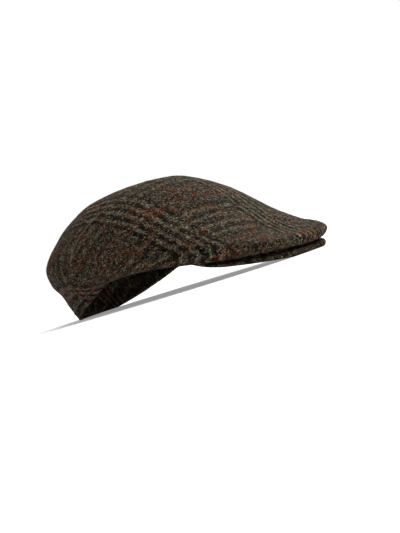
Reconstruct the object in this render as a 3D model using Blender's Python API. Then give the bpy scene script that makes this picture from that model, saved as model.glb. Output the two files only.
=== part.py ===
"""Flat cap of checked tweed, lying as it is put down: on the back of its rim and the front of its peak.

Metres, +Z up. The peak points to -Y and the wearer's right side is at -X. The origin is on the
surface that the cap rests on, under the middle of its length and width.
"""

import math

import bmesh
import bpy
from mathutils import Vector

# Outer size of the cap
CAP_LENGTH = 0.283
CAP_WIDTH = 0.202
CAP_HEIGHT = 0.111

# The crown's highest point lies behind the middle of the length
APEX_BEHIND_MIDDLE = 0.0165

# Cloth: tweed with its backing, and the turned hem round the head opening
CLOTH_THICKNESS = 0.0024
HEM_THICKNESS = 0.0034

# Head opening, measured outside the hem
OPENING_LENGTH = 0.208
OPENING_WIDTH = 0.166
OPENING_BEHIND_MIDDLE = 0.0215

# The rim arches over the ears, dips in front and is pressed flat where it rests at the back
RIM_SIDE_HEIGHT = 0.0320
RIM_FRONT_HEIGHT = 0.0225
RIM_PRESSED_DEPTH = 0.0020

# The sides of the crown hang over the rim, and its front rolls over the peak as a lip
OVERHANG_HEIGHT = 0.0292
LIP_HEIGHT = 0.0135

# Peak: a board between two layers of tweed, pressed flat where it rests. It lies under the lip
PEAK_FRONT_THICKNESS = 0.0076
PEAK_RIM_THICKNESS = 0.0060
PEAK_CORNER_THICKNESS = 0.0022
PEAK_SIDE_RISE = 0.0300
PEAK_EDGE_ROUNDING = 0.0022
PEAK_PRESSED_DEPTH = 0.0014
PEAK_TAPER_ANGLE = math.radians(38.0)
SEAT_GAP = 0.0004

# Squareness of the outlines seen from above: 2 is an ellipse, more is squarer
BACK_SQUARENESS = 2.12
LIP_SQUARENESS = 2.55

# Fineness of the meshes
POINTS_AROUND = 80
LEVELS_PER_SECTION = 2
PEAK_COLUMNS_A_SIDE = 13
PEAK_ROW_SHARES = (0.0, 0.06, 0.25, 0.45, 0.65, 0.83, 1.0)

# Sections of the crown from the top down to its widest line. Reaches are shares of the way from
# the apex to the cap's outline, heights shares of the cap's height.
DOME_COLUMNS = ("front", "side", "back", "front_height", "side_height", "back_height")
DOME_SECTIONS = (
    (0.00, 0.00, 0.00, 1.000, 1.000, 1.000),
    (0.21, 0.27, 0.29, 0.950, 0.975, 0.990),
    (0.43, 0.51, 0.55, 0.770, 0.908, 0.935),
    (0.61, 0.71, 0.735, 0.525, 0.790, 0.825),
    (0.765, 0.86, 0.870, 0.315, 0.655, 0.700),
    (0.895, 0.955, 0.965, 0.200, 0.520, 0.590),
    (0.972, 1.00, 1.00, 0.172, 0.420, 0.490),
)

# Sections from the widest line round the fold to the rim: the lip's outermost line, the fold's
# lowest line and one halfway in. Reaches are shares of that way, and heights are positions
# between the named stops of fold_sections, which lie at 0, 1, 2 and so on.
FOLD_COLUMNS = ("front_in", "side_in", "back_in", "front_stop", "side_stop", "back_stop")
FOLD_SECTIONS = (
    (0.00, 0.08, 0.14, 1.00, 0.62, 0.24),
    (0.14, 0.42, 0.50, 2.00, 1.00, 0.47),
    (0.50, 0.78, 0.70, 2.50, 1.42, 0.74),
)
LOWEST_LEVEL = len(DOME_SECTIONS) + 1
RIM_LEVEL = len(DOME_SECTIONS) + len(FOLD_SECTIONS)


def blended(first, second, share):
    """The value that lies a share of the way from first to second."""
    return first + (second - first) * share


def along_stops(stops, position):
    """The height at a position along the stops, which lie at 0, 1, 2 and so on."""
    index = min(int(position), len(stops) - 2)
    return blended(stops[index], stops[index + 1], position - index)


def eased(share):
    """Zero to one with level ends."""
    share = min(max(share, 0.0), 1.0)
    return share * share * (3 - 2 * share)


# A section is (front, side, back reach, front, side, back height), in metres


def rim_section():
    """The outer edge of the hem round the head opening."""
    half = OPENING_LENGTH / 2
    behind_apex = OPENING_BEHIND_MIDDLE - APEX_BEHIND_MIDDLE
    reaches = (half - behind_apex, OPENING_WIDTH / 2, half + behind_apex)
    return (*reaches, RIM_FRONT_HEIGHT, RIM_SIDE_HEIGHT, -RIM_PRESSED_DEPTH)


def outline_reaches():
    """Reaches of the cap's outline in front, at the side and behind."""
    half = CAP_LENGTH / 2
    return (half + APEX_BEHIND_MIDDLE, CAP_WIDTH / 2, half - APEX_BEHIND_MIDDLE)


def dome_sections():
    """Sections from the apex to the widest line."""
    outline = outline_reaches()
    sections = []
    for row in DOME_SECTIONS:
        share = dict(zip(DOME_COLUMNS, row))
        reaches = [share[key] * whole for key, whole in zip(DOME_COLUMNS[:3], outline)]
        heights = [share[key] * CAP_HEIGHT for key in DOME_COLUMNS[3:]]
        sections.append((*reaches, *heights))
    return sections


def fold_sections(widest, rim):
    """Sections between the widest line and the rim."""
    outline = outline_reaches()
    front_stops = (widest[3], LIP_HEIGHT, PEAK_FRONT_THICKNESS + SEAT_GAP, rim[3])
    side_stops = (widest[4], OVERHANG_HEIGHT, rim[4])
    back_stops = (widest[5], rim[5])
    sections = []
    for row in FOLD_SECTIONS:
        share = dict(zip(FOLD_COLUMNS, row))
        sections.append(
            (
                blended(outline[0], rim[0], share["front_in"]),
                blended(outline[1], rim[1], share["side_in"]),
                blended(outline[2], rim[2], share["back_in"]),
                along_stops(front_stops, share["front_stop"]),
                along_stops(side_stops, share["side_stop"]),
                along_stops(back_stops, share["back_stop"]),
            )
        )
    return sections


def crown_sections():
    """All sections of the crown's outer face, from the apex to the rim."""
    dome, rim = dome_sections(), rim_section()
    return [*dome, *fold_sections(dome[-1], rim), rim]


def section_at(sections, level):
    """The section at a level between the listed ones, on a Catmull-Rom curve through them."""
    last = len(sections) - 1
    index = min(int(level), last - 1)
    u = level - index
    before, start = sections[max(index - 1, 0)], sections[index]
    end, after = sections[index + 1], sections[min(index + 2, last)]
    return tuple(
        b + 0.5 * u * (c - a + u * (2 * a - 5 * b + 4 * c - d + u * (3 * b - a - 3 * c + d)))
        for a, b, c, d in zip(before, start, end, after)
    )


def section_reach(section, angle):
    """Distance from the apex's axis to a section, at an angle from the front."""
    ahead, aside = math.cos(angle), abs(math.sin(angle))
    along = section[0] if ahead > 0 else section[2]
    nearness = min(section[0] / outline_reaches()[0], 1.0) * math.sqrt(max(ahead, 0.0))
    squareness = blended(BACK_SQUARENESS, LIP_SQUARENESS, nearness)
    total = (abs(ahead) / along) ** squareness + (aside / section[1]) ** squareness
    return total ** (-1 / squareness)


def section_height(section, angle):
    """Height of a section at an angle from the front."""
    ahead = math.cos(angle)
    if ahead > 0:
        return blended(section[4], section[3], ahead**2)
    return blended(section[4], section[5], (-ahead) ** 1.5)


def place(reach, angle, height):
    """A point from its reach and angle round the apex's axis. Angles grow to the wearer's right."""
    across, ahead = reach * math.sin(angle), reach * math.cos(angle)
    return Vector((-across, APEX_BEHIND_MIDDLE - ahead, height))


def crown_point(section, angle):
    """A point of the crown's outer face. The cloth lies flat where it meets the table."""
    height = max(section_height(section, angle), 0.0)
    return place(section_reach(section, angle), angle, height)


def step_angle(step):
    """The angle of one of the crown's columns of points."""
    return 2 * math.pi * step / POINTS_AROUND


def crown_rings():
    """The crown's outer face as rings of points, from the one below the apex to the rim."""
    sections = crown_sections()
    rings = []
    for count in range(1, RIM_LEVEL * LEVELS_PER_SECTION + 1):
        section = section_at(sections, count / LEVELS_PER_SECTION)
        rings.append([crown_point(section, step_angle(step)) for step in range(POINTS_AROUND)])
    return rings


def ring_normals(rings, apex):
    """Outward unit normals at the points of the rings."""
    normals = []
    for k, ring in enumerate(rings):
        above = rings[k - 1] if k else [apex] * len(ring)
        below = rings[k + 1] if k + 1 < len(rings) else ring
        row = []
        for i in range(len(ring)):
            round_ring = ring[(i + 1) % len(ring)] - ring[i - 1]
            row.append(round_ring.cross(below[i] - above[i]).normalized())
        normals.append(row)
    return normals


def inner_rings(rings, normals):
    """The rings moved in by the cloth's thickness, with the hem's lower face kept level."""
    inner = []
    for ring, row in zip(rings, normals):
        is_rim = ring is rings[-1]
        wall = HEM_THICKNESS if is_rim else CLOTH_THICKNESS
        moved = [point - normal * wall for point, normal in zip(ring, row)]
        if is_rim:
            for point, outside in zip(moved, ring):
                point.z = outside.z
        inner.append(moved)
    return inner


def cloth_material(name, colour):
    """Rough woollen cloth."""
    material = bpy.data.materials.new(name)
    material.use_nodes = True
    shader = material.node_tree.nodes["Principled BSDF"]
    shader.inputs["Base Color"].default_value = (*colour, 1.0)
    shader.inputs["Roughness"].default_value = 0.95
    shader.inputs["Metallic"].default_value = 0.0
    return material


def new_object(name, bm, material):
    """Makes a smooth-shaded object of a bmesh, with its sharp edges kept."""
    bmesh.ops.recalc_face_normals(bm, faces=bm.faces)
    mesh = bpy.data.meshes.new(name)
    bm.to_mesh(mesh)
    bm.free()
    mesh.materials.append(material)
    mesh.shade_smooth()
    mesh.set_sharp_from_angle(angle=math.radians(50))
    made = bpy.data.objects.new(name, mesh)
    bpy.context.scene.collection.objects.link(made)
    return made


def bridge(bm, upper, lower):
    """Faces between two closed rings of the same number of points."""
    for i in range(len(upper)):
        j = (i + 1) % len(upper)
        bm.faces.new((upper[i], lower[i], lower[j], upper[j]))


def close_ring(bm, ring, tip):
    """Triangles from a closed ring to the point that closes it."""
    for i in range(len(ring)):
        bm.faces.new((tip, ring[i], ring[(i + 1) % len(ring)]))


def build_crown(material):
    """One cloth shell: dome, overhanging sides and front lip, turned under to the hemmed rim."""
    rings = crown_rings()
    apex = place(0.0, 0.0, CAP_HEIGHT)
    inner = inner_rings(rings, ring_normals(rings, apex))
    bm = bmesh.new()
    outer_rows = [[bm.verts.new(point) for point in ring] for ring in rings]
    inner_rows = [[bm.verts.new(point) for point in ring] for ring in inner]
    close_ring(bm, outer_rows[0], bm.verts.new(apex))
    close_ring(bm, inner_rows[0], bm.verts.new(apex - Vector((0, 0, CLOTH_THICKNESS))))
    for rows in (outer_rows, inner_rows):
        for upper, lower in zip(rows, rows[1:]):
            bridge(bm, upper, lower)
    bridge(bm, outer_rows[-1], inner_rows[-1])
    return new_object("crown", bm, material)


def peak_loop(sections, angle, corner_angle):
    """The peak cut at an angle from the front: top from the rim outward, rounded edge, underside.

    Its top follows the crown's underside, from the fold's lowest line in front to nearly the rim
    at the corners.
    """
    taper = eased((corner_angle - abs(angle)) / (corner_angle - PEAK_TAPER_ANGLE))
    edge_level = blended(blended(LOWEST_LEVEL, RIM_LEVEL, 0.8), LOWEST_LEVEL, taper)
    edge = section_at(sections, edge_level)
    edge_top = section_height(edge, angle) - SEAT_GAP
    open_thickness = edge_top - PEAK_SIDE_RISE * math.sin(angle) ** 2
    edge_thickness = max(blended(0.0, open_thickness, taper), PEAK_CORNER_THICKNESS)
    rim_thickness = blended(PEAK_CORNER_THICKNESS, PEAK_RIM_THICKNESS, taper)
    top, under = [], []
    for share in PEAK_ROW_SHARES:
        section = section_at(sections, blended(edge_level, RIM_LEVEL, share))
        reach = section_reach(section, angle)
        height = section_height(section, angle) - SEAT_GAP
        lower = height - blended(edge_thickness, rim_thickness, share)
        top.append(place(reach, angle, height))
        under.append(place(reach, angle, max(lower - PEAK_PRESSED_DEPTH * taper, 0.0)))
    nose_reach = section_reach(edge, angle) + PEAK_EDGE_ROUNDING
    nose = [place(nose_reach, angle, edge_top - edge_thickness * share) for share in (0.3, 0.7)]
    return top[::-1] + nose + under


def build_peak(material):
    """The peak: a crescent plate under the crown's lip, from the rim to its rounded edge."""
    sections = crown_sections()
    corner_angle = step_angle(PEAK_COLUMNS_A_SIDE)
    bm = bmesh.new()
    loops = []
    for step in range(-PEAK_COLUMNS_A_SIDE, PEAK_COLUMNS_A_SIDE + 1):
        loop = peak_loop(sections, step_angle(step), corner_angle)
        loops.append([bm.verts.new(point) for point in loop])
    for left, right in zip(loops, loops[1:]):
        bridge(bm, left, right)
    bm.faces.new(loops[0])
    bm.faces.new(loops[-1])
    return new_object("peak", bm, material)


def main():
    for obj in list(bpy.data.objects):
        bpy.data.objects.remove(obj)
    tweed = cloth_material("tweed", (0.062, 0.048, 0.035))
    build_crown(tweed)
    build_peak(tweed)


main()
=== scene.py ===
"""Flat cap of glen-checked wool tweed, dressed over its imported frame.

Metres, +Z up. The peak points to -Y and the wearer's right side is at -X.
"""

import math

import bpy
import numpy as np
from mathutils import Matrix, Vector, noise


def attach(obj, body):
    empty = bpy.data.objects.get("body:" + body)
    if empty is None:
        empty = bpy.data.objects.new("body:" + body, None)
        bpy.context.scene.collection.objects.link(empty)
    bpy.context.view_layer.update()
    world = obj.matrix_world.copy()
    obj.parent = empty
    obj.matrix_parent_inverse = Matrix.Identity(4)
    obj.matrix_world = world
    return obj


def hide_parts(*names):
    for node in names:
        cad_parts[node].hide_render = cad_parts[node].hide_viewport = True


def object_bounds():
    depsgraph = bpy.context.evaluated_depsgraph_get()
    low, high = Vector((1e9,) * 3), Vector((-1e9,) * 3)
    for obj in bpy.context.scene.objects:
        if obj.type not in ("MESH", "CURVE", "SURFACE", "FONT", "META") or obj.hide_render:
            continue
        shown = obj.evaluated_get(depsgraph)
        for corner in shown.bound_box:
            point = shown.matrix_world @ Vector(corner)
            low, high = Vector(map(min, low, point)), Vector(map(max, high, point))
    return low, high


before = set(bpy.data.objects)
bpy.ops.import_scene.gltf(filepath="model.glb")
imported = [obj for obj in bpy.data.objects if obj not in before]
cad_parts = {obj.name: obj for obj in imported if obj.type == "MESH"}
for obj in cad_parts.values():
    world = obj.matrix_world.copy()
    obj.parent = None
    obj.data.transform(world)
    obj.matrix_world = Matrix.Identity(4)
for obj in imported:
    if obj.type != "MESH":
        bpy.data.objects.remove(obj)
cad_low, cad_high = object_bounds()

# Crown. One shell of 2.4 mm wool tweed that covers the top of the head. It is steamed to shape,
# drawn in by two darts at the back, rolled over the peak in front as a lip, and turned under all
# round to the hemmed rim of the head opening.

CAP_WIDTH, CAP_LENGTH, CAP_HEIGHT = cad_high - cad_low
APEX_BEHIND_MIDDLE = 0.0165
CLOTH_THICKNESS = 0.0024
HEM_THICKNESS = 0.0034
OPENING_LENGTH, OPENING_WIDTH, OPENING_BEHIND_MIDDLE = 0.208, 0.166, 0.0215
RIM_FRONT_HEIGHT, RIM_SIDE_HEIGHT, RIM_PRESSED_DEPTH = 0.0225, 0.0320, 0.0020
OVERHANG_HEIGHT = 0.0292
LIP_HEIGHT = 0.0135
PEAK_FRONT_THICKNESS = 0.0076
SEAT_GAP = 0.0004
BACK_SQUARENESS, LIP_SQUARENESS = 2.12, 2.55

# Sections from the apex down to the widest line: front, side and back reach as shares of the
# outline, then front, side and back height as shares of the cap's height
DOME_SECTIONS = (
    (0.00, 0.00, 0.00, 1.000, 1.000, 1.000),
    (0.21, 0.27, 0.29, 0.950, 0.975, 0.990),
    (0.43, 0.51, 0.55, 0.770, 0.908, 0.935),
    (0.61, 0.71, 0.735, 0.525, 0.790, 0.825),
    (0.765, 0.86, 0.870, 0.315, 0.655, 0.700),
    (0.895, 0.955, 0.965, 0.200, 0.520, 0.590),
    (0.972, 1.00, 1.00, 0.172, 0.420, 0.490),
)
# Sections from there round the fold to the rim: how far in from the outline, and how far along
# the heights that the cloth passes on its way
FOLD_SECTIONS = (
    (0.00, 0.08, 0.14, 1.00, 0.62, 0.24),
    (0.14, 0.42, 0.50, 2.00, 1.00, 0.47),
    (0.50, 0.78, 0.70, 2.50, 1.42, 0.74),
)
LOWEST_LEVEL = len(DOME_SECTIONS) + 1
RIM_LEVEL = len(DOME_SECTIONS) + len(FOLD_SECTIONS)

half_length = CAP_LENGTH / 2
outline = np.array(
    (half_length + APEX_BEHIND_MIDDLE, CAP_WIDTH / 2, half_length - APEX_BEHIND_MIDDLE)
)
rim_behind_apex = OPENING_BEHIND_MIDDLE - APEX_BEHIND_MIDDLE
rim_reach = np.array(
    (OPENING_LENGTH / 2 - rim_behind_apex, OPENING_WIDTH / 2, OPENING_LENGTH / 2 + rim_behind_apex)
)
sections = [(*(outline * row[:3]), *(np.array(row[3:]) * CAP_HEIGHT)) for row in DOME_SECTIONS]
widest = sections[-1]
for row in FOLD_SECTIONS:
    front = np.interp(
        row[3],
        range(4),
        (widest[3], LIP_HEIGHT, PEAK_FRONT_THICKNESS + SEAT_GAP, RIM_FRONT_HEIGHT),
    )
    side = np.interp(row[4], range(3), (widest[4], OVERHANG_HEIGHT, RIM_SIDE_HEIGHT))
    back = np.interp(row[5], range(2), (widest[5], -RIM_PRESSED_DEPTH))
    sections.append((*(outline + (rim_reach - outline) * row[:3]), front, side, back))
sections.append((*rim_reach, RIM_FRONT_HEIGHT, RIM_SIDE_HEIGHT, -RIM_PRESSED_DEPTH))
sections = np.array(sections)


def eased(share):
    """Zero to one with level ends."""
    share = np.clip(share, 0.0, 1.0)
    return share * share * (3 - 2 * share)


def crown_surface(level, angle):
    """Points of the crown's outer face, at levels from the apex and angles from the front."""
    level, angle = np.broadcast_arrays(np.asarray(level, float), np.asarray(angle, float))
    index = np.clip(level.astype(int), 0, RIM_LEVEL - 1)
    u = (level - index)[..., None]
    a, b = sections[np.maximum(index - 1, 0)], sections[index]
    c, d = sections[index + 1], sections[np.minimum(index + 2, RIM_LEVEL)]
    at = b + 0.5 * u * (c - a + u * (2 * a - 5 * b + 4 * c - d + u * (3 * b - a - 3 * c + d)))
    ahead, aside = np.cos(angle), np.abs(np.sin(angle))
    along = np.where(ahead > 0, at[..., 0], at[..., 2]) + 1e-9
    nearness = np.minimum(at[..., 0] / outline[0], 1.0) * np.sqrt(np.maximum(ahead, 0.0))
    power = BACK_SQUARENESS + (LIP_SQUARENESS - BACK_SQUARENESS) * nearness
    total = (np.abs(ahead) / along) ** power + (aside / (at[..., 1] + 1e-9)) ** power
    reach = total ** (-1 / power)
    end = np.where(ahead > 0, at[..., 3], at[..., 5])
    share = np.where(ahead > 0, ahead**2, np.abs(ahead) ** 1.5)
    height = at[..., 4] + (end - at[..., 4]) * share
    across, forward = reach * np.sin(angle), reach * np.cos(angle)
    return np.stack((-across, APEX_BEHIND_MIDDLE - forward, height), -1)


def face_normals(grid):
    """Outward unit normals of a grid of points in rings that close on themselves."""
    down = np.gradient(grid, axis=0)
    round_ring = np.roll(grid, -1, axis=1) - np.roll(grid, 1, axis=1)
    normal = np.cross(round_ring, down)
    return normal / np.linalg.norm(normal, axis=-1, keepdims=True)


def hump(at, middle, half_width):
    """A smooth hump, one high in its middle."""
    return np.exp(-(((at - middle) / half_width) ** 2))


# Columns of points. One follows each dart, with narrow ones beside it for its groove
DART_COLUMN = 0.31
DART_CLEARANCE = 0.0062
COLUMNS_AHEAD, COLUMNS_BEHIND = 82, 50
DART_GROOVE_SHARES = (-0.0038, -0.0022, -0.0012, -0.0005, 0.0, 0.0005, 0.0012, 0.0022, 0.0038)
right_half = np.concatenate(
    (
        np.linspace(0, DART_COLUMN - DART_CLEARANCE, COLUMNS_AHEAD),
        DART_COLUMN + np.array(DART_GROOVE_SHARES),
        np.linspace(DART_COLUMN + DART_CLEARANCE, 0.5, COLUMNS_BEHIND),
    )
)
columns = np.concatenate((right_half, 1 - right_half[-2:0:-1]))
SIDE_LEVEL = 6
RINGS_ABOVE, RINGS_BELOW = 78, 36
rings_above = np.linspace(0, SIDE_LEVEL, RINGS_ABOVE + 1)[1:]
levels = np.concatenate((rings_above, np.linspace(SIDE_LEVEL, RIM_LEVEL, RINGS_BELOW + 1)[1:]))


def dart_angle(level):
    """Angle from the front at which the dart on the wearer's right lies.

    It sweeps from 82 degrees at the shoulder back to 120, and on to 132 round the fold.
    """
    swept = 120 - 38 * np.exp(-np.maximum(level - 2, 0) / 0.75) + 12 * eased((level - 6) / 3)
    return np.radians(swept)


def column_angles(level):
    """Angles of all columns on one ring, so that the darts lie on columns of their own."""
    dart = dart_angle(level)
    half = np.interp(right_half, (0, DART_COLUMN, 0.5), (0, dart, math.pi))
    return np.concatenate((half, 2 * math.pi - half[-2:0:-1]))


angles = np.array([column_angles(level) for level in levels])
level_grid = np.repeat(levels[:, None], len(columns), axis=1)
shell = crown_surface(level_grid, angles)
normals = face_normals(shell)

# The darts: from the shoulder down, the cloth ahead of the seam stands up over it in a ridge on a
# plump fold, and the seam is a groove behind that. Each has its height, its place behind the seam
# line and its half width. They start at the shoulder and die down round the fold
DART_RIDGE = (0.0011, -0.0005, 0.0009)
DART_PLUMP_FOLD = (0.0013, -0.0040, 0.0040)
DART_GROOVE = (-0.0014, 0.0013, 0.0010)
from_front = np.minimum(angles, 2 * math.pi - angles)
behind_dart = from_front - dart_angle(level_grid)
behind_dart *= np.hypot(shell[..., 0], shell[..., 1] - APEX_BEHIND_MIDDLE)
dart_depth = eased((level_grid - 1.9) / 0.8) * (1 - 0.8 * eased((level_grid - 5.2) / 2.8))
lift = sum(
    height * hump(behind_dart, middle, half_width) * dart_depth
    for height, middle, half_width in (DART_RIDGE, DART_PLUMP_FOLD, DART_GROOVE)
)

# Cloth that was worn and steamed is never quite even: low swells all over, 6 to 45 mm across, and
# short drag lines where the sides turn under. Both fade out under the lip and where the cap rests
SWELL_HEIGHT = 0.0008
SWELL_OCTAVES = ((22, 1.0), (47, 0.5), (170, 0.45))
DRAG_HEIGHT = 0.0005
DRAG_LEVEL, DRAG_SPREAD = 6.6, 1.2
LIP_HALF_ANGLE, LIP_END_FADE = math.pi / 3, 0.4
UNDER_LIP_LEVEL = 6.5
REST_FADE_HEIGHT = 0.008
swell = np.zeros(shell.shape[:2])
for often, height in SWELL_OCTAVES:
    swell += [[height * noise.noise(Vector(point) * often) for point in ring] for ring in shell]
drag_phase = angles * 29 + 4.0 * np.sin(angles * 5) + level_grid * 0.8
drag = np.sin(drag_phase) * (0.45 + 0.55 * np.sin(angles * 7 + 1.0))
drag *= hump(level_grid, DRAG_LEVEL, DRAG_SPREAD) * np.sin(angles) ** 2
under_lip = eased(level_grid - UNDER_LIP_LEVEL)
under_lip = under_lip * eased((LIP_HALF_ANGLE - from_front) / LIP_END_FADE)
uneven = (swell * SWELL_HEIGHT + drag * DRAG_HEIGHT) * (1 - under_lip)
lift += uneven * eased(shell[..., 2] / REST_FADE_HEIGHT) * eased(level_grid)
outer = shell + normals * lift[..., None]
outer[..., 2] = np.maximum(outer[..., 2], 0.0)

# The wall: the inner face lies one thickness in, and two at the turned hem
INNER_RING_STEP = 2
HEM_LEVELS, HEM_FADE = 0.9, 0.5
inner_rows = np.arange(1, len(levels), INNER_RING_STEP)
inner_rows[-1] = len(levels) - 1
hem_share = eased((level_grid - (RIM_LEVEL - HEM_LEVELS)) / HEM_FADE)
wall = CLOTH_THICKNESS + (HEM_THICKNESS - CLOTH_THICKNESS) * hem_share
inner = (outer - face_normals(outer) * wall[..., None])[inner_rows]
inner[-1, :, 2] = np.maximum(inner[-1, :, 2], 0.0)

# The rim's edge is rolled over, half round
ROLL_ANGLES = np.radians((30, 60, 90, 120, 150))
roll_middle = (outer[-1] + inner[-1]) / 2
roll_out = (outer[-1] - inner[-1]) / 2
inward = outer[-1] - outer[-3]
inward /= np.linalg.norm(inward, axis=-1, keepdims=True)
roll = [
    roll_middle + roll_out * math.cos(turn) + inward * HEM_THICKNESS / 2 * math.sin(turn)
    for turn in ROLL_ANGLES
]
for ring in roll:
    ring[:, 2] = np.maximum(ring[:, 2], 0.0)

# How the cloth lies: each point's way from the apex is its real length along the shell, and its
# bearing is drawn in as far as the steamed cloth shrank round the sides. So the checks keep their
# size. The cloth was cut off the straight, and pulling it over the block sheared it. Behind the
# darts it is turned further. Below the hold levels the bearing stays, so the check runs straight
# down over the fold
WARP_TURN = math.radians(13)
WEFT_TURN = math.radians(25)
REAR_TURN = math.radians(-23)
FLAT_STEPS = 181
NEAR_APEX_LEVEL, NEAR_APEX_WAY = 0.02, 0.0006
flat_angles = np.linspace(0, math.pi, FLAT_STEPS)
flat_levels = np.concatenate(((NEAR_APEX_LEVEL,), levels))
flat_shell = crown_surface(flat_levels[:, None], flat_angles[None, :])
steps_down = np.linalg.norm(np.diff(flat_shell, axis=0), axis=-1)
steps_down = np.concatenate((np.zeros((1, FLAT_STEPS)), steps_down))
way = NEAR_APEX_WAY + np.cumsum(steps_down, axis=0)
steps_round = np.linalg.norm(np.diff(flat_shell, axis=1), axis=-1)
square_on = np.sqrt(np.maximum(steps_round**2 - np.diff(way, axis=1) ** 2, 0.0))
bearing = np.cumsum(square_on / ((way[:, 1:] + way[:, :-1]) / 2), axis=1)
bearing = np.concatenate((np.zeros((len(flat_levels), 1)), bearing), axis=1)
FOLD_HOLD_LEVEL, REAR_HOLD_LEVEL = 7.6, 5.6
fold_hold_row = int(np.argmin(np.abs(levels - FOLD_HOLD_LEVEL)))
rear_hold_row = int(np.argmin(np.abs(levels - REAR_HOLD_LEVEL)))


def cloth_place(row, angle, rear, past_rim):
    """Where a point of the crown lies on the flat cloth, in metres across and along the warp."""
    turned = (angle + math.pi) % (2 * math.pi) - math.pi
    side = math.copysign(1, turned)
    span = abs(turned)
    length = np.interp(span, flat_angles, way[row + 1]) + past_rim
    flat = np.interp(span, flat_angles, bearing[min(row, fold_hold_row) + 1])
    if rear:
        drawn = bearing[min(row, rear_hold_row) + 1]
        pull = REAR_TURN * eased((levels[row] - 2.0) / 2.5)
        flat = side * (math.pi - (drawn[-1] - np.interp(span, flat_angles, drawn))) + pull
    else:
        flat *= side
    right, forward = length * math.sin(flat), length * math.cos(flat)
    across = right * math.cos(WARP_TURN) - forward * math.sin(WARP_TURN)
    return across, forward * math.cos(WEFT_TURN) + right * math.sin(WEFT_TURN)


ring_size = len(columns)
dart_at = int(np.argmin(np.abs(columns - DART_COLUMN)))
other_dart_at = ring_size - dart_at
points = [crown_surface(0.0, 0.0)]
points += list(outer.reshape(-1, 3))
for ring in roll:
    points += list(ring)
points += list(inner[::-1].reshape(-1, 3))
points.append(crown_surface(0.0, 0.0) - (0, 0, CLOTH_THICKNESS))
ring_rows = list(range(len(levels))) + [len(levels) - 1] * len(roll) + list(inner_rows[::-1])
rolled_past = np.zeros(len(ring_rows))
rolled_past[len(levels) : len(levels) + len(roll)] = ROLL_ANGLES * HEM_THICKNESS / 2
faces, face_rings, face_columns = [], [], []
for column in range(ring_size):
    following = (column + 1) % ring_size
    faces.append((0, 1 + column, 1 + following))
    face_rings.append((0, 0, 0))
    face_columns.append((column, column, column + 1))
    for ring in range(len(ring_rows) - 1):
        upper, lower = 1 + ring * ring_size, 1 + (ring + 1) * ring_size
        faces.append((upper + column, lower + column, lower + following, upper + following))
        face_rings.append((ring, ring + 1, ring + 1, ring))
        face_columns.append((column, column, column + 1, column + 1))
    last = 1 + (len(ring_rows) - 1) * ring_size
    faces.append((last + column, len(points) - 1, last + following))
    face_rings.append((len(ring_rows) - 1,) * 3)
    face_columns.append((column, column, column + 1))

crown_mesh = bpy.data.meshes.new("crown_cloth")
crown_mesh.from_pydata([tuple(point) for point in points], [], faces)
cloth_map = crown_mesh.uv_layers.new(name="cloth")
placed = {}
corner = 0
for face, rings, cols in zip(faces, face_rings, face_columns):
    rear = dart_at <= min(cols) < other_dart_at
    for vertex, ring, column in zip(face, rings, cols):
        key = (ring, column, rear)
        if key not in placed:
            row = ring_rows[ring]
            angle = angles[row][column % ring_size]
            placed[key] = cloth_place(row, angle, rear, rolled_past[ring])
        cloth_map.data[corner].uv = placed[key]
        if vertex in (0, len(points) - 1):
            cloth_map.data[corner].uv = (0.0, 0.0)
        corner += 1

# Painted highlight along the darts' ridges, where the plump fold catches the light: the colour
# there is painted paler
ridge_highlight = crown_mesh.attributes.new("ridge_highlight", "FLOAT", "POINT")
dart_ridge_highlight = hump(behind_dart, -0.0009, 0.0009) * dart_depth
dart_ridge_highlight *= eased((7.2 - level_grid) / 2.5)
values = np.zeros(len(points))
values[1 : 1 + dart_ridge_highlight.size] = dart_ridge_highlight.reshape(-1)
ridge_highlight.data.foreach_set("value", values)
# The faces that show their nap: the outer ones, but not under the lip or near the floor
NAP_LEAST_HEIGHT = 0.004
outside = crown_mesh.attributes.new("outside", "BOOLEAN", "FACE")
shows_nap = []
for rings, cols in zip(face_rings, face_columns):
    row, column = ring_rows[rings[0]], cols[0] % ring_size
    in_the_open = under_lip[row, column] < 0.1 and shell[row, column, 2] > NAP_LEAST_HEIGHT
    shows_nap.append(max(rings) < len(levels) and in_the_open)
outside.data.foreach_set("value", shows_nap)
crown_mesh.shade_smooth()
crown = bpy.data.objects.new("crown_cloth", crown_mesh)
bpy.context.scene.collection.objects.link(crown)


def linear(code):
    """An sRGB hex colour as the linear colour that the shaders take."""
    parts = [int(code[i : i + 2], 16) / 255 for i in (1, 3, 5)]
    return (*[c / 12.92 if c <= 0.04045 else ((c + 0.055) / 1.055) ** 2.4 for c in parts], 1.0)


def add(tree, kind, inputs=(), **settings):
    """Adds a node with its settings and inputs, in a tuple by place or in a dict by place or name.

    An input is set to a plain value, or linked to a socket or to a node's first live output.
    """
    node = tree.nodes.new(kind)
    for name, value in settings.items():
        setattr(node, name, value)
    rows = inputs.items() if isinstance(inputs, dict) else enumerate(inputs)
    for key, value in rows:
        if isinstance(value, bpy.types.Node):
            value = next(output for output in value.outputs if output.enabled)
        if isinstance(value, bpy.types.NodeSocket):
            tree.links.new(value, node.inputs[key])
        else:
            node.inputs[key].default_value = value
    return node


MATH, VECTOR_MATH, MIX = "ShaderNodeMath", "ShaderNodeVectorMath", "ShaderNodeMix"
MAP_RANGE, NOISE, COLOUR_RAMP = "ShaderNodeMapRange", "ShaderNodeTexNoise", "ShaderNodeValToRGB"

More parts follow.
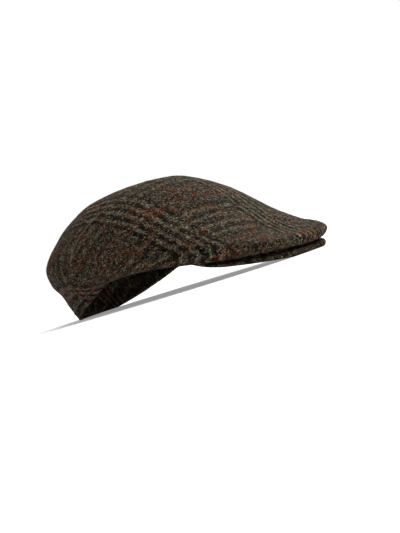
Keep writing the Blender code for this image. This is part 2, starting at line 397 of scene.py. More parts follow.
# The thread order of the glen check, over 90 threads of 1.07 mm in warp and in weft. Five dark
# stripes stand round the middle of each repeat, and the rest is laid two and two, with a pair of
# bright threads in it. Places are counted in threads from the middle of the bright pair
CHECK_REPEAT = 0.096
THREADS_IN_REPEAT = 90.0
THREAD_PITCH = CHECK_REPEAT / THREADS_IN_REPEAT
WARP_STRIPES = {"Stripe period": 8.0, "Stripe width": 4.0}
WEFT_STRIPES = {"Stripe period": 12.0, "Stripe width": 6.0}
BRIGHT_PAIR_HALF = 4.5
STRIPE_EDGE_HALF = 1.2
GROUND_DARKNESS = 0.5
order = bpy.data.node_groups.new("glen check thread order", "ShaderNodeTree")
for socket in ("Place", "Stripe period", "Stripe width"):
    order.interface.new_socket(socket, in_out="INPUT", socket_type="NodeSocketFloat")
for socket in ("Dark", "Soft", "Bright"):
    order.interface.new_socket(socket, in_out="OUTPUT", socket_type="NodeSocketFloat")
place, period, width = add(order, "NodeGroupInput").outputs[:3]
number = add(order, MATH, (place,), operation="FLOOR")
thread_middle = add(order, MATH, (number, 0.5), operation="ADD")
half_period = add(order, MATH, (period, 0.5), operation="MULTIPLY")
half_width = add(order, MATH, (width, 0.5), operation="MULTIPLY")
zone_half = add(order, MATH, (period, 2.0, half_width), operation="MULTIPLY_ADD")
shares = {}
for kind, at in (("thread", thread_middle), ("cloth", place)):
    half_on = add(order, MATH, (at, THREADS_IN_REPEAT / 2), operation="ADD")
    repeated = add(order, MATH, (half_on, THREADS_IN_REPEAT), operation="FLOORED_MODULO")
    centred = add(order, MATH, (repeated, THREADS_IN_REPEAT / 2), operation="SUBTRACT")
    from_pair = add(order, MATH, (centred,), operation="ABSOLUTE")
    off = add(order, MATH, (THREADS_IN_REPEAT / 2, from_pair), operation="SUBTRACT")
    shifted = add(order, MATH, (off, half_period), operation="ADD")
    in_period = add(order, MATH, (shifted, period), operation="FLOORED_MODULO")
    to_stripe = add(order, MATH, (in_period, half_period), operation="SUBTRACT")
    from_stripe = add(order, MATH, (to_stripe,), operation="ABSOLUTE")
    beyond = add(order, MATH, (from_stripe, half_width), operation="SUBTRACT")
    zone = add(order, MATH, (off, zone_half), operation="LESS_THAN")
    shares[kind] = (beyond, zone, from_pair)
beyond, zone, from_pair = shares["thread"]
stripe = add(order, MATH, (beyond, 0.0), operation="LESS_THAN")
in_four = add(order, MATH, (number, 4.0), operation="FLOORED_MODULO")
small = add(order, MATH, (in_four, 1.5), operation="LESS_THAN")
dark = add(order, MIX, {0: zone, 2: small, 3: stripe})
bright = add(order, MATH, (from_pair, BRIGHT_PAIR_HALF, 0.3), operation="COMPARE")
beyond, zone, _ = shares["cloth"]
soft_edge = (beyond, -STRIPE_EDGE_HALF, STRIPE_EDGE_HALF, 1.0, 0.0)
soft_stripe = add(order, MAP_RANGE, soft_edge, interpolation_type="SMOOTHSTEP")
soft = add(order, MIX, {0: zone, 2: GROUND_DARKNESS, 3: soft_stripe})
add(order, "NodeGroupOutput", {"Dark": dark, "Soft": soft, "Bright": bright})

# Yarns of carded wool: grey-green and olive, brown-black, and brown. The fuzz is paler
PALE_YARN = ((0.38, "#3A2A1E"), (0.50, "#504D3D"), (0.62, "#6A6B59"))
DEEP_YARN = ((0.40, "#1A0A09"), (0.64, "#311612"))
BROWN_YARN = "#553016"
RUST_FLECK, PALE_FLECK = "#74401A", "#827C6A"
RUST_THREAD, RED_THREAD = "#83421C", "#AE2D27"
# The paler colour for the darts' ridges is a painted highlight
FUZZ, RIDGE_PAINTED_HIGHLIGHT, WOOL_SHEEN = "#8C8470", "#7A6858", "#D9CDBB"
NAP_BLUR = 0.68
WARP_SHOWS, WEFT_SHOWS = 0.9, 0.42
# Patterns are sized in turns a metre. The nap's is 0.4 mm, blotches' 5 mm and brown drifts' 18 mm
NAP_SCALE, BLOTCH_SCALE, DRIFT_SCALE = 2600.0, 190.0, 55.0
# Carded yarn wanders by half its width within 2 mm, and by a whole thread within 15 mm
YARN_WANDER = ((420.0, 2.4), (70.0, 5.0))
# Fibres in the fuzz are drawn 0.5 mm wide and 3.4 mm long so that they show, and lie three ways
FUZZ_WIDTH, FUZZ_LENGTH = 0.0005, 0.0034
FUZZ_TURNS_AND_STARTS = ((0.3, 0.0), (1.4, 3.7), (2.5, 8.1))


def fill_ramp(node, stops):
    """Gives a colour ramp its stops, as rows of place and hex colour."""
    ramp = node.color_ramp
    (first, first_colour), *between, (last, last_colour) = stops
    ramp.elements[0].position, ramp.elements[0].color = first, linear(first_colour)
    ramp.elements[1].position, ramp.elements[1].color = last, linear(last_colour)
    for position, colour in between:
        ramp.elements.new(position).color = linear(colour)


def woven_wool_tweed(name, across_start, along_start):
    """Woven wool tweed: carded wool yarn in 2/2 twill, brushed a little.

    To the eye it is matt and soft, and its surface gives no highlight. The nap blurs the check,
    pale fibres lie over the yarns every way, and each yarn is mottled with flecks of other wools.
    Shade in the valleys between the yarns, and a highlight along the darts' ridges, are painted
    into its colour.
    """
    material = bpy.data.materials.new(name)
    material.use_nodes = True
    tree = material.node_tree
    tree.nodes.clear()
    flat = add(tree, "ShaderNodeUVMap", uv_map="cloth")
    wandered = flat
    for scale, most in YARN_WANDER:
        wander = add(tree, NOISE, {"Vector": flat, "Scale": scale, "Detail": 2.0})
        way_off = (wander.outputs["Color"], (0.5, 0.5, 0.5))
        centred = add(tree, VECTOR_MATH, way_off, operation="SUBTRACT")
        drift = {0: centred, "Scale": THREAD_PITCH * most}
        drift = add(tree, VECTOR_MATH, drift, operation="SCALE")
        wandered = add(tree, VECTOR_MATH, (wandered, drift), operation="ADD")
    threads = add(
        tree,
        "ShaderNodeMapping",
        {
            "Vector": wandered,
            "Location": (-across_start / THREAD_PITCH, -along_start / THREAD_PITCH, 0.0),
            "Scale": (1 / THREAD_PITCH, 1 / THREAD_PITCH, 1.0),
        },
    )
    across, along = add(tree, "ShaderNodeSeparateXYZ", (threads,)).outputs[:2]
    warp_number = add(tree, MATH, (across,), operation="FLOOR")
    weft_number = add(tree, MATH, (along,), operation="FLOOR")
    warp_part = add(tree, MATH, (across,), operation="FRACT")
    weft_part = add(tree, MATH, (along,), operation="FRACT")
    # 2/2 twill: over two, under two, and one further on in the next yarn
    over_sum = add(tree, MATH, (warp_number, weft_number), operation="ADD")
    over_step = add(tree, MATH, (over_sum, 4.0), operation="FLOORED_MODULO")
    warp_up = add(tree, MATH, (over_step, 1.5), operation="LESS_THAN")
    # Height of the yarn that lies on top: round across, and arched over its float of two
    warp_sum = add(tree, MATH, (warp_number, along), operation="ADD")
    warp_float = add(tree, MATH, (warp_sum, 2.0), operation="FLOORED_MODULO")
    weft_sum = add(tree, MATH, (weft_number, across), operation="ADD")
    weft_float = add(tree, MATH, (weft_sum, 2.0), operation="FLOORED_MODULO")
    float_now = add(tree, MIX, {0: warp_up, 2: weft_float, 3: warp_float})
    part_now = add(tree, MIX, {0: warp_up, 2: weft_part, 3: warp_part})
    arch_angle = add(tree, MATH, (float_now, math.pi / 2), operation="MULTIPLY")
    arch = add(tree, MATH, (arch_angle,), operation="SINE")
    round_angle = add(tree, MATH, (part_now, math.pi), operation="MULTIPLY")
    roundness = add(tree, MATH, (round_angle,), operation="SINE")
    yarn = add(tree, MATH, (arch, roundness), operation="MULTIPLY")
    # Which yarn shows here, and which of its floats, so that each float has a tone of its own
    sum_now = add(tree, MIX, {0: warp_up, 2: weft_sum, 3: warp_sum})
    quarter = add(tree, MATH, (sum_now, 4.0), operation="DIVIDE")
    float_number = add(tree, MATH, (quarter,), operation="FLOOR")
    thread_now = add(tree, MIX, {0: warp_up, 2: weft_number, 3: warp_number})
    cell = add(tree, "ShaderNodeCombineXYZ", (thread_now, float_number, warp_up))
    chance = add(tree, "ShaderNodeTexWhiteNoise", {"Vector": cell}, noise_dimensions="3D")
    chances = add(tree, "ShaderNodeSeparateColor", (chance.outputs["Color"],))
    tone_chance, rust_chance, fleck_chance = chances.outputs[:3]
    # The yarns' colours, mottled along their length, and the blurred check that the nap shows
    warp_inputs, weft_inputs = {"Place": across, **WARP_STRIPES}, {"Place": along, **WEFT_STRIPES}
    warp_order = add(tree, "ShaderNodeGroup", warp_inputs, node_tree=order).outputs
    weft_order = add(tree, "ShaderNodeGroup", weft_inputs, node_tree=order).outputs
    dark_now = add(tree, MIX, {0: warp_up, 2: weft_order["Dark"], 3: warp_order["Dark"]})
    weft_soft = add(tree, MATH, (weft_order["Soft"], WEFT_SHOWS), operation="MULTIPLY")
    soft_rows = (warp_order["Soft"], WARP_SHOWS, weft_soft)
    soft_sum = add(tree, MATH, soft_rows, operation="MULTIPLY_ADD")
    blotches = {"Vector": flat, "Scale": BLOTCH_SCALE, "Detail": 3.0, "Roughness": 0.65}
    blotches = add(tree, NOISE, blotches)
    blotch = add(tree, MAP_RANGE, (blotches, 0.3, 0.7, -0.5, 0.14))
    soft_dark = (soft_sum, 1.0, blotch)
    soft_dark = add(tree, MATH, soft_dark, operation="MULTIPLY_ADD", use_clamp=True)
    blurred = add(tree, MIX, {0: NAP_BLUR, 2: dark_now, 3: soft_dark})
    melange = {"Vector": threads, "Scale": 0.5, "Detail": 4.0, "Roughness": 0.75}
    melange = add(tree, NOISE, melange)
    pale = add(tree, COLOUR_RAMP, (melange,))
    fill_ramp(pale, PALE_YARN)
    deep = add(tree, COLOUR_RAMP, (melange,))
    fill_ramp(deep, DEEP_YARN)
    yarn_colour = add(tree, MIX, {0: blurred, 6: pale, 7: deep}, data_type="RGBA")
    # Brown yarn takes the place of the others in drifts a few centimetres long
    drifts = {"Vector": flat, "Scale": DRIFT_SCALE, "Detail": 3.0, "Roughness": 0.6}
    drifts = add(tree, NOISE, drifts)
    brown_amount = add(tree, MAP_RANGE, (drifts, 0.49, 0.63, 0.0, 0.78))
    brown = {0: brown_amount, 6: yarn_colour, 7: linear(BROWN_YARN)}
    browned = add(tree, MIX, brown, data_type="RGBA")
    squared = add(tree, MATH, (tone_chance, 2.0), operation="POWER")
    tone = add(tree, MAP_RANGE, (squared, 0.0, 1.0, 0.12, 2.2))
    depth = add(tree, MAP_RANGE, (soft_dark, 0.0, 1.0, 1.6, 0.3))
    tone = add(tree, MATH, (tone, depth), operation="MULTIPLY")
    toned = add(tree, VECTOR_MATH, {0: browned, "Scale": tone}, operation="SCALE")
    # Rust flecks show in one float of a hundred, and one of six in the brown drifts. One float in
    # twelve shows a pale fleck
    rust_from = add(tree, MAP_RANGE, (drifts, 0.48, 0.68, 0.99, 0.84))
    is_rust = add(tree, MATH, (rust_chance, rust_from), operation="GREATER_THAN")
    rust_amount = add(tree, MATH, (is_rust, 0.75), operation="MULTIPLY")
    rust = {0: rust_amount, 6: toned, 7: linear(RUST_FLECK)}
    rusty = add(tree, MIX, rust, data_type="RGBA")
    is_pale = add(tree, MATH, (fleck_chance, 0.92), operation="GREATER_THAN")
    pale_amount = add(tree, MATH, (is_pale, 0.7), operation="MULTIPLY")
    flecks = {0: pale_amount, 6: rusty, 7: linear(PALE_FLECK)}
    paired = add(tree, MIX, flecks, data_type="RGBA")
    # The bright pairs, rust along the warp and red along the weft, broken where nap covers them
    covered = add(tree, MAP_RANGE, (melange, 0.4, 0.6, 1.0, 0.45))
    weft_up = add(tree, MATH, (1.0, warp_up), operation="SUBTRACT")
    for bright_now, up, colour in (
        (warp_order["Bright"], warp_up, RUST_THREAD),
        (weft_order["Bright"], weft_up, RED_THREAD),
    ):
        bright_up = add(tree, MATH, (bright_now, up), operation="MULTIPLY")
        pair = add(tree, MATH, (bright_up, covered), operation="MULTIPLY")
        paired = add(tree, MIX, {0: pair, 6: paired, 7: linear(colour)}, data_type="RGBA")
    # Painted shade: the colour is darkened deep in the valleys between the round yarns, and
    # painted a little lighter on their tops
    yarn_valley_shade = add(tree, MAP_RANGE, (yarn, 0.0, 0.8, 0.05, 1.08))
    fuzzy = add(tree, VECTOR_MATH, {0: paired, "Scale": yarn_valley_shade}, operation="SCALE")
    # Pale fibres over the yarns
    fuzz_now = add(tree, MAP_RANGE, (soft_dark, 0.0, 1.0, 0.85, 0.16))
    for turn, start in FUZZ_TURNS_AND_STARTS:
        strokes = add(
            tree,
            "ShaderNodeMapping",
            {
                "Vector": wandered,
                "Location": (start, start, 0.0),
                "Rotation": (0.0, 0.0, turn),
                "Scale": (1 / FUZZ_WIDTH, 1 / FUZZ_LENGTH, 1.0),
            },
        )
        stroke = add(tree, NOISE, {"Vector": strokes, "Scale": 1.0, "Detail": 1.0})
        amount = add(tree, MAP_RANGE, (stroke, 0.63, 0.69, 0.0, fuzz_now))
        fuzzy = add(tree, MIX, {0: amount, 6: fuzzy, 7: linear(FUZZ)}, data_type="RGBA")
    # Painted highlight: the darts' ridges are painted paler, broken up by the melange
    ridge_lit = add(tree, "ShaderNodeAttribute", attribute_name="ridge_highlight").outputs["Fac"]
    highlight_cover = add(tree, MAP_RANGE, (melange, 0.35, 0.65, 1.0, 0.5))
    highlight_amount = add(tree, MATH, (ridge_lit, highlight_cover), operation="MULTIPLY")
    ridge_highlighted = {0: highlight_amount, 6: fuzzy, 7: linear(RIDGE_PAINTED_HIGHLIGHT)}
    ridge_highlighted = add(tree, MIX, ridge_highlighted, data_type="RGBA")
    # Relief: the round yarns, with fine nap over them
    nap = {"Vector": flat, "Scale": NAP_SCALE, "Detail": 3.0, "Roughness": 0.65}
    nap = add(tree, NOISE, nap)
    nap_height = add(tree, MATH, (nap, 0.6), operation="MULTIPLY")
    relief = add(tree, MATH, (yarn, nap_height), operation="ADD")
    relief = {"Height": relief, "Strength": 0.8, "Distance": 0.0005}
    bump = add(tree, "ShaderNodeBump", relief)
    rough = add(tree, MAP_RANGE, (nap, 0.3, 0.7, 0.86, 0.98))
    shader = add(
        tree,
        "ShaderNodeBsdfPrincipled",
        {
            "Base Color": ridge_highlighted,
            "Roughness": rough,
            "Normal": bump,
            "Specular IOR Level": 0.04,
            "Sheen Weight": 0.01,
            "Sheen Roughness": 0.6,
            "Sheen Tint": linear(WOOL_SHEEN),
        },
    )
    add(tree, "ShaderNodeOutputMaterial", (shader,))
    return material


# The middle of the first rust pair lies 18.5 mm right of the apex, of the red pair 75 mm ahead
RUST_PAIR_RIGHT, RED_PAIR_AHEAD = 0.0185, 0.075
crown_tweed = woven_wool_tweed("woven wool tweed", RUST_PAIR_RIGHT, RED_PAIR_AHEAD)
crown_mesh.materials.append(crown_tweed)
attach(crown, "root")
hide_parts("crown")

# Loose fibres of the crown. Short ends of the wool that brushing pulled out of the yarns. They lie
# over the crown every way, and their tips stand about 1 mm off it. Drawn 0.17 mm thick, four times
# the real thing, so that they show.

FIBRE_LENGTH = 0.0042
FIBRE_THICKNESS = 0.00017
FIBRES_A_SQUARE_METRE = 74000.0
FIBRE_BEND = ((0.0, 0.0, -0.05), (0.3, 0.0, 0.13), (0.65, 0.12, 0.2), (1.0, 0.05, 0.1))
# Steps along a fibre and corners in its section: few, because thousands are drawn
FIBRE_STEPS, FIBRE_CORNERS = 4, 3
FIBRE_LEAST_LEAN, FIBRE_MOST_LEAN = (-0.25, -0.6, 0.0), (0.25, 0.04, math.tau)
FIBRE_LEAST_SIZE, FIBRE_MOST_SIZE = 0.5, 1.3
TINT_SEED = 7
MERGE_DISTANCE = 1e-6


def new_tree(name, sockets, result):
    """A Geometry Nodes tree, with its named inputs and its one output."""
    tree = bpy.data.node_groups.new(name, "GeometryNodeTree")
    made = {
        socket: tree.interface.new_socket(socket, in_out="INPUT", socket_type="NodeSocket" + kind)
        for socket, kind in sockets.items()
    }
    tree.interface.new_socket(result, in_out="OUTPUT", socket_type="NodeSocketGeometry")
    return tree, made, add(tree, "NodeGroupInput").outputs


def tapered_rod(tree, core, fullness_change, amount, corners, radius):
    """Nodes that wrap a curve in a closed tube, full in the middle and pointed at both ends."""
    share = add(tree, "GeometryNodeSplineParameter").outputs["Factor"]
    to_end = add(tree, MATH, (1.0, share), operation="SUBTRACT")
    fullness = add(tree, MATH, (share, to_end), operation="MULTIPLY")
    girth = add(tree, MATH, (fullness, amount), operation=fullness_change)
    tapered = add(tree, "GeometryNodeSetCurveRadius", {"Curve": core, "Radius": girth})
    section = {"Resolution": corners, "Radius": radius}
    section = add(tree, "GeometryNodeCurvePrimitiveCircle", section)
    tube = {"Curve": tapered, "Profile Curve": section}
    tube = add(tree, "GeometryNodeCurveToMesh", tube)
    tube = {"Geometry": tube, "Distance": MERGE_DISTANCE}
    return add(tree, "GeometryNodeMergeByDistance", tube)


def finish_tree(tree, laid, material, result):
    """Ends a tree: the instances become real, and take their material."""
    made = add(tree, "GeometryNodeRealizeInstances", (laid,))
    finished = {"Geometry": made, "Material": material}
    add(tree, "NodeGroupOutput", {result: add(tree, "GeometryNodeSetMaterial", finished)})


def made_plain(piece, tree, sockets, values, name):
    """Runs a tree on a piece with its input values, and leaves the result as its plain mesh."""
    modifier = piece.modifiers.new(name, "NODES")
    modifier.node_group = tree
    for socket, value in values.items():
        modifier[sockets[socket].identifier] = value
    evaluated = piece.evaluated_get(bpy.context.evaluated_depsgraph_get())
    mesh = bpy.data.meshes.new_from_object(evaluated)
    piece.modifiers.remove(modifier)
    piece.data = mesh
    return mesh


fibre_tree, fibre_sockets, given = new_tree(
    "loose wool fibres",
    {
        "Cloth": "Geometry",
        "Fibres per square metre": "Float",
        "Fibre length": "Float",
        "Fibre thickness": "Float",
        "Fibre wool": "Material",
        "Seed": "Int",
    },
    "Fibres",
)
napped = {"Name": "outside"}
napped = add(fibre_tree, "GeometryNodeInputNamedAttribute", napped, data_type="BOOLEAN")
roots = add(
    fibre_tree,
    "GeometryNodeDistributePointsOnFaces",
    {
        "Mesh": given["Cloth"],
        "Selection": napped,
        "Density": given["Fibres per square metre"],
        "Seed": given["Seed"],
    },
)
start, start_handle, end_handle, end = (
    add(fibre_tree, VECTOR_MATH, {0: at, "Scale": given["Fibre length"]}, operation="SCALE")
    for at in FIBRE_BEND
)
bent = add(
    fibre_tree,
    "GeometryNodeCurvePrimitiveBezierSegment",
    {
        "Resolution": FIBRE_STEPS,
        "Start": start,
        "Start Handle": start_handle,
        "End Handle": end_handle,
        "End": end,
    },
)
half_thick = add(fibre_tree, MATH, (given["Fibre thickness"], 0.5), operation="MULTIPLY")
fibre = tapered_rod(fibre_tree, bent, "MULTIPLY", 4.0, FIBRE_CORNERS, half_thick)
lean = {0: FIBRE_LEAST_LEAN, 1: FIBRE_MOST_LEAN, "Seed": given["Seed"]}
lean = add(fibre_tree, "FunctionNodeRandomValue", lean, data_type="FLOAT_VECTOR")
turned = {
    "Rotation": roots.outputs["Rotation"],
    "Rotate By": add(fibre_tree, "FunctionNodeEulerToRotation", (lean,)),
}
turned = add(fibre_tree, "FunctionNodeRotateRotation", turned, rotation_space="LOCAL")
size = {2: FIBRE_LEAST_SIZE, 3: FIBRE_MOST_SIZE, "Seed": given["Seed"]}
size = add(fibre_tree, "FunctionNodeRandomValue", size, data_type="FLOAT")
laid = add(
    fibre_tree,
    "GeometryNodeInstanceOnPoints",
    {
        "Points": roots.outputs["Points"],
        "Instance": fibre,
        "Rotation": turned,
        "Scale": size,
    },
)
tint = {2: 0.0, 3: 1.0, "Seed": TINT_SEED}
tint = add(fibre_tree, "FunctionNodeRandomValue", tint, data_type="FLOAT")
tinted = add(
    fibre_tree,
    "GeometryNodeStoreNamedAttribute",
    {"Geometry": laid, "Name": "fibre_tint", "Value": tint},
    data_type="FLOAT",
    domain="INSTANCE",
)
finish_tree(fibre_tree, tinted, given["Fibre wool"], "Fibres")

# Single wool fibres: matt, most of them grey-green or brown, some nearly white and a few rust
FIBRE_TINTS = (
    (0.0, "#231A14"),
    (0.36, "#574C3C"),
    (0.58, "#78725F"),
    (0.80, "#A09A88"),
    (0.93, "#7A4220"),
)
fibre_wool = bpy.data.materials.new("loose wool fibre")
fibre_wool.use_nodes = True
fibre_nodes = fibre_wool.node_tree
fibre_shader = fibre_nodes.nodes["Principled BSDF"]
tint_of_fibre = add(fibre_nodes, "ShaderNodeAttribute", attribute_name="fibre_tint")
tints = add(fibre_nodes, COLOUR_RAMP, (tint_of_fibre.outputs["Fac"],))
tints.color_ramp.interpolation = "CONSTANT"
fill_ramp(tints, FIBRE_TINTS)
fibre_nodes.links.new(tints.outputs[0], fibre_shader.inputs["Base Color"])
fibre_shader.inputs["Roughness"].default_value = 0.85
fibre_shader.inputs["Specular IOR Level"].default_value = 0.2


def loose_fibres(name, cloth_mesh, seed):
    """Fibres over the faces of a cloth mesh that show their nap, as one plain mesh."""
    fibres = bpy.data.objects.new(name, cloth_mesh)
    bpy.context.scene.collection.objects.link(fibres)
    values = {
        "Fibres per square metre": FIBRES_A_SQUARE_METRE,
        "Fibre length": FIBRE_LENGTH,
        "Fibre thickness": FIBRE_THICKNESS,
        "Fibre wool": fibre_wool,
        "Seed": seed,
    }
    mesh = made_plain(fibres, fibre_tree, fibre_sockets, values, "brushing")
    mesh.name = name
    for vertex in mesh.vertices:
        vertex.co.z = max(vertex.co.z, 0.0)
    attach(fibres, "root")


loose_fibres("crown_fibres", crown_mesh, seed=3)

# Hem stitches. The hem is held by a line of sewing thread, 6.5 mm up from the rim. The thread is
# drawn into the cloth, so only the tops of the stitches show.

STITCH_HEIGHT = 0.0065
STITCH_LENGTH = 0.0027
STITCH_SPACING = 0.0036
THREAD_THICKNESS = 0.0006
STITCH_STEPS, STITCH_CORNERS, STITCH_BLUNTNESS = 6, 6, 0.4

seam_points = []
for column in range(ring_size):
    up_from_rim = outer[::-1, column]
    steps = np.linalg.norm(np.diff(up_from_rim, axis=0), axis=-1)
    lengths = np.concatenate(((0,), np.cumsum(steps)))
    seam_points.append([np.interp(STITCH_HEIGHT, lengths, row) for row in up_from_rim.T])
seam_mesh = bpy.data.meshes.new("hem_stitches")
seam_mesh.from_pydata(seam_points, [(i, (i + 1) % ring_size) for i in range(ring_size)], [])

stitch_tree, stitch_sockets, given = new_tree(
    "hem stitches",
    {
        "Seam": "Geometry",
        "Stitch length": "Float",
        "Stitch spacing": "Float",
        "Thread thickness": "Float",
        "Thread": "Material",
    },
    "Stitches",
)
seam = add(stitch_tree, "GeometryNodeMeshToCurve", (given["Seam"],))
spaced = {"Curve": seam, "Length": given["Stitch spacing"]}
spaced = add(stitch_tree, "GeometryNodeCurveToPoints", spaced, mode="LENGTH")
half_long = add(stitch_tree, MATH, (given["Stitch length"], 0.5), operation="MULTIPLY")
half_back = add(stitch_tree, MATH, (given["Stitch length"], -0.5), operation="MULTIPLY")
core = {
    "Start": add(stitch_tree, "ShaderNodeCombineXYZ", {2: half_back}),
    "End": add(stitch_tree, "ShaderNodeCombineXYZ", {2: half_long}),
}
core = {"Curve": add(stitch_tree, "GeometryNodeCurvePrimitiveLine", core), "Count": STITCH_STEPS}
core = add(stitch_tree, "GeometryNodeResampleCurve", core)
thickness = given["Thread thickness"]
stitch = tapered_rod(stitch_tree, core, "POWER", STITCH_BLUNTNESS, STITCH_CORNERS, thickness)
sewn = {
    "Points": spaced.outputs["Points"],
    "Instance": stitch,
    "Rotation": spaced.outputs["Rotation"],
}
sewn = add(stitch_tree, "GeometryNodeInstanceOnPoints", sewn)
finish_tree(stitch_tree, sewn, given["Thread"], "Stitches")

# Spun polyester thread: two plies twisted round each other, with a dull shine along the twist
PLY_TURNS_A_METRE = 2000.0
THREAD_SHADOW, THREAD_BROWN = "#2A2018", "#54452F"
thread = bpy.data.materials.new("brown sewing thread")
thread.use_nodes = True
thread_nodes = thread.node_tree
thread_shader = thread_nodes.nodes["Principled BSDF"]
plies = add(
    thread_nodes,
    "ShaderNodeTexWave",
    {
        "Vector": add(thread_nodes, "ShaderNodeTexCoord").outputs["Object"],
        "Scale": PLY_TURNS_A_METRE,
        "Distortion": 1.5,
        "Detail": 1.0,
    },
    bands_direction="DIAGONAL",
).outputs["Fac"]
ply_colour = {0: plies, 6: linear(THREAD_SHADOW), 7: linear(THREAD_BROWN)}
ply_colour = add(thread_nodes, MIX, ply_colour, data_type="RGBA")
ply_bump = {"Height": plies, "Strength": 0.5, "Distance": 0.0001}
ply_bump = add(thread_nodes, "ShaderNodeBump", ply_bump)
thread_nodes.links.new(ply_colour.outputs[2], thread_shader.inputs["Base Color"])
thread_nodes.links.new(ply_bump.outputs[0], thread_shader.inputs["Normal"])
thread_shader.inputs["Roughness"].default_value = 0.6

stitches = bpy.data.objects.new("hem_stitches", seam_mesh)
bpy.context.scene.collection.objects.link(stitches)
stitch_values = {
    "Stitch length": STITCH_LENGTH,
    "Stitch spacing": STITCH_SPACING,
    "Thread thickness": THREAD_THICKNESS,
    "Thread": thread,
}
made_plain(stitches, stitch_tree, stitch_sockets, stitch_values, "sewing").shade_smooth()
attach(stitches, "root")

# Peak. A crescent of stiff board covered above and below with the same tweed, its edge turned and
# pressed round. It is sewn along the front of the rim and lies under the crown's lip.

PEAK_RIM_THICKNESS = 0.0060
PEAK_CORNER_THICKNESS = 0.0022
PEAK_SIDE_RISE = 0.0300
PEAK_EDGE_ROUNDING = 0.0036
PEAK_PRESSED_DEPTH = 0.0014
PEAK_TAPER_ANGLE = math.radians(38.0)
PEAK_CORNER_ANGLE = math.radians(58.5)
SLIT_HEIGHT = 0.0023
PEAK_COLUMNS_A_SIDE = 80
PEAK_ROWS = 26
PEAK_ROW_CROWDING = 1.3
SLIT_SHARE = 0.5
NOSE_TURNS = np.radians(np.linspace(15, 165, 11))

peak_points, peak_places = [], []
row_shares = np.linspace(0, 1, PEAK_ROWS) ** PEAK_ROW_CROWDING
slit_rows = 1 - eased(row_shares / SLIT_SHARE)
near_rim = LOWEST_LEVEL + (RIM_LEVEL - LOWEST_LEVEL) * 0.8
for step in range(-PEAK_COLUMNS_A_SIDE, PEAK_COLUMNS_A_SIDE + 1):
    angle = PEAK_CORNER_ANGLE * step / PEAK_COLUMNS_A_SIDE
    taper = float(eased((PEAK_CORNER_ANGLE - abs(angle)) / (PEAK_CORNER_ANGLE - PEAK_TAPER_ANGLE)))
    edge_level = near_rim + (LOWEST_LEVEL - near_rim) * taper
    top = crown_surface(edge_level + (RIM_LEVEL - edge_level) * row_shares, angle)
    top[:, 2] -= SEAT_GAP
    open_thickness = top[0][2] - PEAK_SIDE_RISE * math.sin(angle) ** 2
    edge_thickness = max(open_thickness * taper, PEAK_CORNER_THICKNESS)
    rim_thickness = PEAK_CORNER_THICKNESS + (PEAK_RIM_THICKNESS - PEAK_CORNER_THICKNESS) * taper
    # Its upper edge falls away from the lip, which leaves the dark slit between them
    top[:, 2] -= SLIT_HEIGHT * taper * slit_rows
    under = top.copy()
    under[:, 2] += SLIT_HEIGHT * taper * slit_rows
    under[:, 2] -= edge_thickness + (rim_thickness - edge_thickness) * row_shares
    under[:, 2] = np.maximum(under[:, 2] - PEAK_PRESSED_DEPTH * taper, 0.0)
    middle, half_edge = (top[0] + under[0]) / 2, (top[0] - under[0]) / 2
    outward = np.array((-math.sin(angle), -math.cos(angle), 0.0)) * PEAK_EDGE_ROUNDING
    nose = [middle + half_edge * math.cos(turn) + outward * math.sin(turn) for turn in NOSE_TURNS]
    loop = np.array([*top[::-1], *nose, *under])
    # The cloth lies flat on top, and goes on round the edge at its real length
    steps = np.linalg.norm(np.diff(loop, axis=0), axis=-1)
    lengths = np.concatenate(((0,), np.cumsum(steps)))
    past = lengths - lengths[PEAK_ROWS - 1]
    peak_points.append(loop)
    right, ahead = -top[0][0], APEX_BEHIND_MIDDLE - top[0][1]
    peak_places += [(right + p * math.sin(angle), ahead + p * math.cos(angle)) for p in past]
loop_size = len(peak_points[0])
peak_faces = []
for step in range(2 * PEAK_COLUMNS_A_SIDE):
    left, right = step * loop_size, (step + 1) * loop_size
    for i in range(loop_size):
        j = (i + 1) % loop_size
        peak_faces.append((left + i, left + j, right + j, right + i))
peak_faces.append(tuple(range(loop_size))[::-1])
last = 2 * PEAK_COLUMNS_A_SIDE * loop_size
peak_faces.append(tuple(range(last, last + loop_size)))
peak_mesh = bpy.data.meshes.new("peak_cloth")
peak_mesh.from_pydata([tuple(p) for loop in peak_points for p in loop], [], peak_faces)
peak_map = peak_mesh.uv_layers.new(name="cloth")
for polygon in peak_mesh.polygons:
    for corner, vertex in zip(polygon.loop_indices, polygon.vertices):
        peak_map.data[corner].uv = peak_places[vertex]
# Its nap shows at the edge and underneath, but not under the lip or near the floor
PEAK_NAP_LEAST_HEIGHT = 0.0035
peak_outside = peak_mesh.attributes.new("outside", "BOOLEAN", "FACE")
peak_shows = []
for face in peak_faces:
    place = min(face) % loop_size
    is_open = len(face) == 4 and PEAK_ROWS <= place < loop_size - 1
    high_up = peak_mesh.vertices[face[0]].co.z > PEAK_NAP_LEAST_HEIGHT
    peak_shows.append(is_open and high_up)
peak_outside.data.foreach_set("value", peak_shows)
peak_mesh.shade_smooth()
peak = bpy.data.objects.new("peak_cloth", peak_mesh)
bpy.context.scene.collection.objects.link(peak)
# The cloth on the board is cut apart from the crown's, so its check falls elsewhere
PEAK_RUST_PAIR_RIGHT, PEAK_RED_PAIR_AHEAD = 0.006, 0.012
peak_tweed = woven_wool_tweed(
    "woven wool tweed on board", PEAK_RUST_PAIR_RIGHT, PEAK_RED_PAIR_AHEAD
)
peak_mesh.materials.append(peak_tweed)
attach(peak, "root")
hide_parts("peak")
loose_fibres("peak_fibres", peak_mesh, seed=5)

# Table, light and camera. The cap lies by itself on a pale acrylic table that is lit a little
# from below, under a wide soft light.

FLOOR_RADIUS = 30.0
floor_mesh = bpy.data.meshes.new("floor")
signs = ((-1, -1), (1, -1), (1, 1), (-1, 1))
corners = [(x * FLOOR_RADIUS, y * FLOOR_RADIUS, 0.0) for x, y in signs]
floor_mesh.from_pydata(corners, [], [(0, 1, 2, 3)])
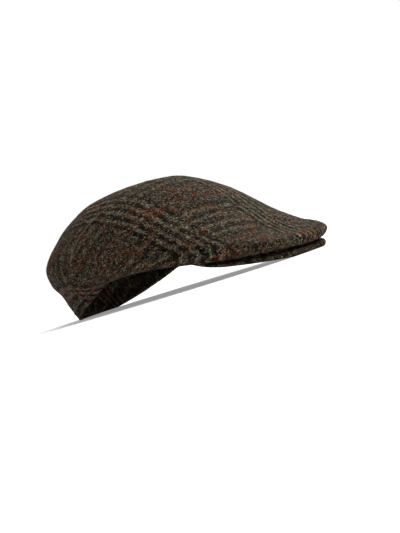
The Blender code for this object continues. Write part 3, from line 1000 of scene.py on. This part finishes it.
# Frosted acrylic sheet: matt, a little grey, and faintly glowing, so that shadows stay soft
acrylic = bpy.data.materials.new("matt white acrylic lit from below")
acrylic.use_nodes = True
for socket, value in (
    ("Base Color", linear("#E2E2E1")),
    ("Roughness", 0.95),
    ("Emission Color", linear("#FFFFFF")),
    ("Emission Strength", 0.28),
    ("Specular IOR Level", 0.0),
):
    acrylic.node_tree.nodes["Principled BSDF"].inputs[socket].default_value = value
floor_mesh.materials.append(acrylic)
floor = bpy.data.objects.new("floor", floor_mesh)
bpy.context.scene.collection.objects.link(floor)

# A soft light as wide as the ceiling, from ahead of the wearer's left, a lit wall on that side,
# and dimmer walls elsewhere. Seen from the camera they are all white
CEILING_ENERGY, CEILING_ANGLE = 4.55, math.radians(66)
CEILING_DIRECTION = Vector((0.66, -0.38, 1.15))
LIT_WALL_DIRECTION = (0.87, 0.5, 0.0)
DIM_WALL, LIT_WALL = 0.15, 1.3
ceiling = bpy.data.lights.new("ceiling_light", "SUN")
ceiling.energy, ceiling.angle = CEILING_ENERGY, CEILING_ANGLE
lamp = bpy.data.objects.new("ceiling_light", ceiling)
lamp.rotation_euler = CEILING_DIRECTION.to_track_quat("Z", "Y").to_euler()
bpy.context.scene.collection.objects.link(lamp)
world = bpy.data.worlds.new("pale_walls")
world.use_nodes = True
room = world.node_tree
walls = room.nodes["Background"]
walls.inputs["Color"].default_value = linear("#FFFFFF")
wall_side = add(room, "ShaderNodeTexCoord").outputs["Generated"]
facing = add(room, VECTOR_MATH, (wall_side, LIT_WALL_DIRECTION), operation="DOT_PRODUCT")
lit = add(room, MAP_RANGE, (facing, 0.2, 0.9, DIM_WALL, LIT_WALL))
seen = add(room, "ShaderNodeLightPath").outputs["Is Camera Ray"]
strength = add(room, MIX, {0: seen, 2: lit, 3: 1.0})
room.links.new(strength.outputs[0], walls.inputs["Strength"])
bpy.context.scene.world = world
bpy.context.scene.view_settings.view_transform = "Standard"

# The camera stands ahead of the wearer's right side, near the floor, and is rolled as the
# photograph is
CAMERA_BEARING = math.radians(60.0)
CAMERA_RISE = math.radians(0.8)
CAMERA_ROLL = math.radians(17.4)
CAMERA_DISTANCE = 1.6
METRES_PER_PIXEL = 0.00097
AIM = Vector((0.0, 0.0, 0.055))
AIM_PIXEL = (177.3, 231.3)
FRAME_PIXELS = (400, 533)
SENSOR_WIDTH = 36.0
towards = Vector(
    (
        -math.sin(CAMERA_BEARING) * math.cos(CAMERA_RISE),
        -math.cos(CAMERA_BEARING) * math.cos(CAMERA_RISE),
        math.sin(CAMERA_RISE),
    )
)
level_right = (-towards).cross(Vector((0, 0, 1))).normalized()
level_up = level_right.cross(-towards)
right = level_right * math.cos(CAMERA_ROLL) - level_up * math.sin(CAMERA_ROLL)
up = level_right * math.sin(CAMERA_ROLL) + level_up * math.cos(CAMERA_ROLL)
camera_data = bpy.data.cameras.new("camera")
camera_data.sensor_width = SENSOR_WIDTH
camera_data.lens = SENSOR_WIDTH * (CAMERA_DISTANCE / METRES_PER_PIXEL) / max(FRAME_PIXELS)
camera = bpy.data.objects.new("camera", camera_data)
camera.location = (
    AIM
    + towards * CAMERA_DISTANCE
    - right * (AIM_PIXEL[0] - FRAME_PIXELS[0] / 2) * METRES_PER_PIXEL
    + up * (AIM_PIXEL[1] - FRAME_PIXELS[1] / 2) * METRES_PER_PIXEL
)
camera.rotation_euler = Matrix((right, up, towards)).transposed().to_euler()
bpy.context.scene.collection.objects.link(camera)
bpy.context.scene.camera = camera

bpy.context.view_layer.update()
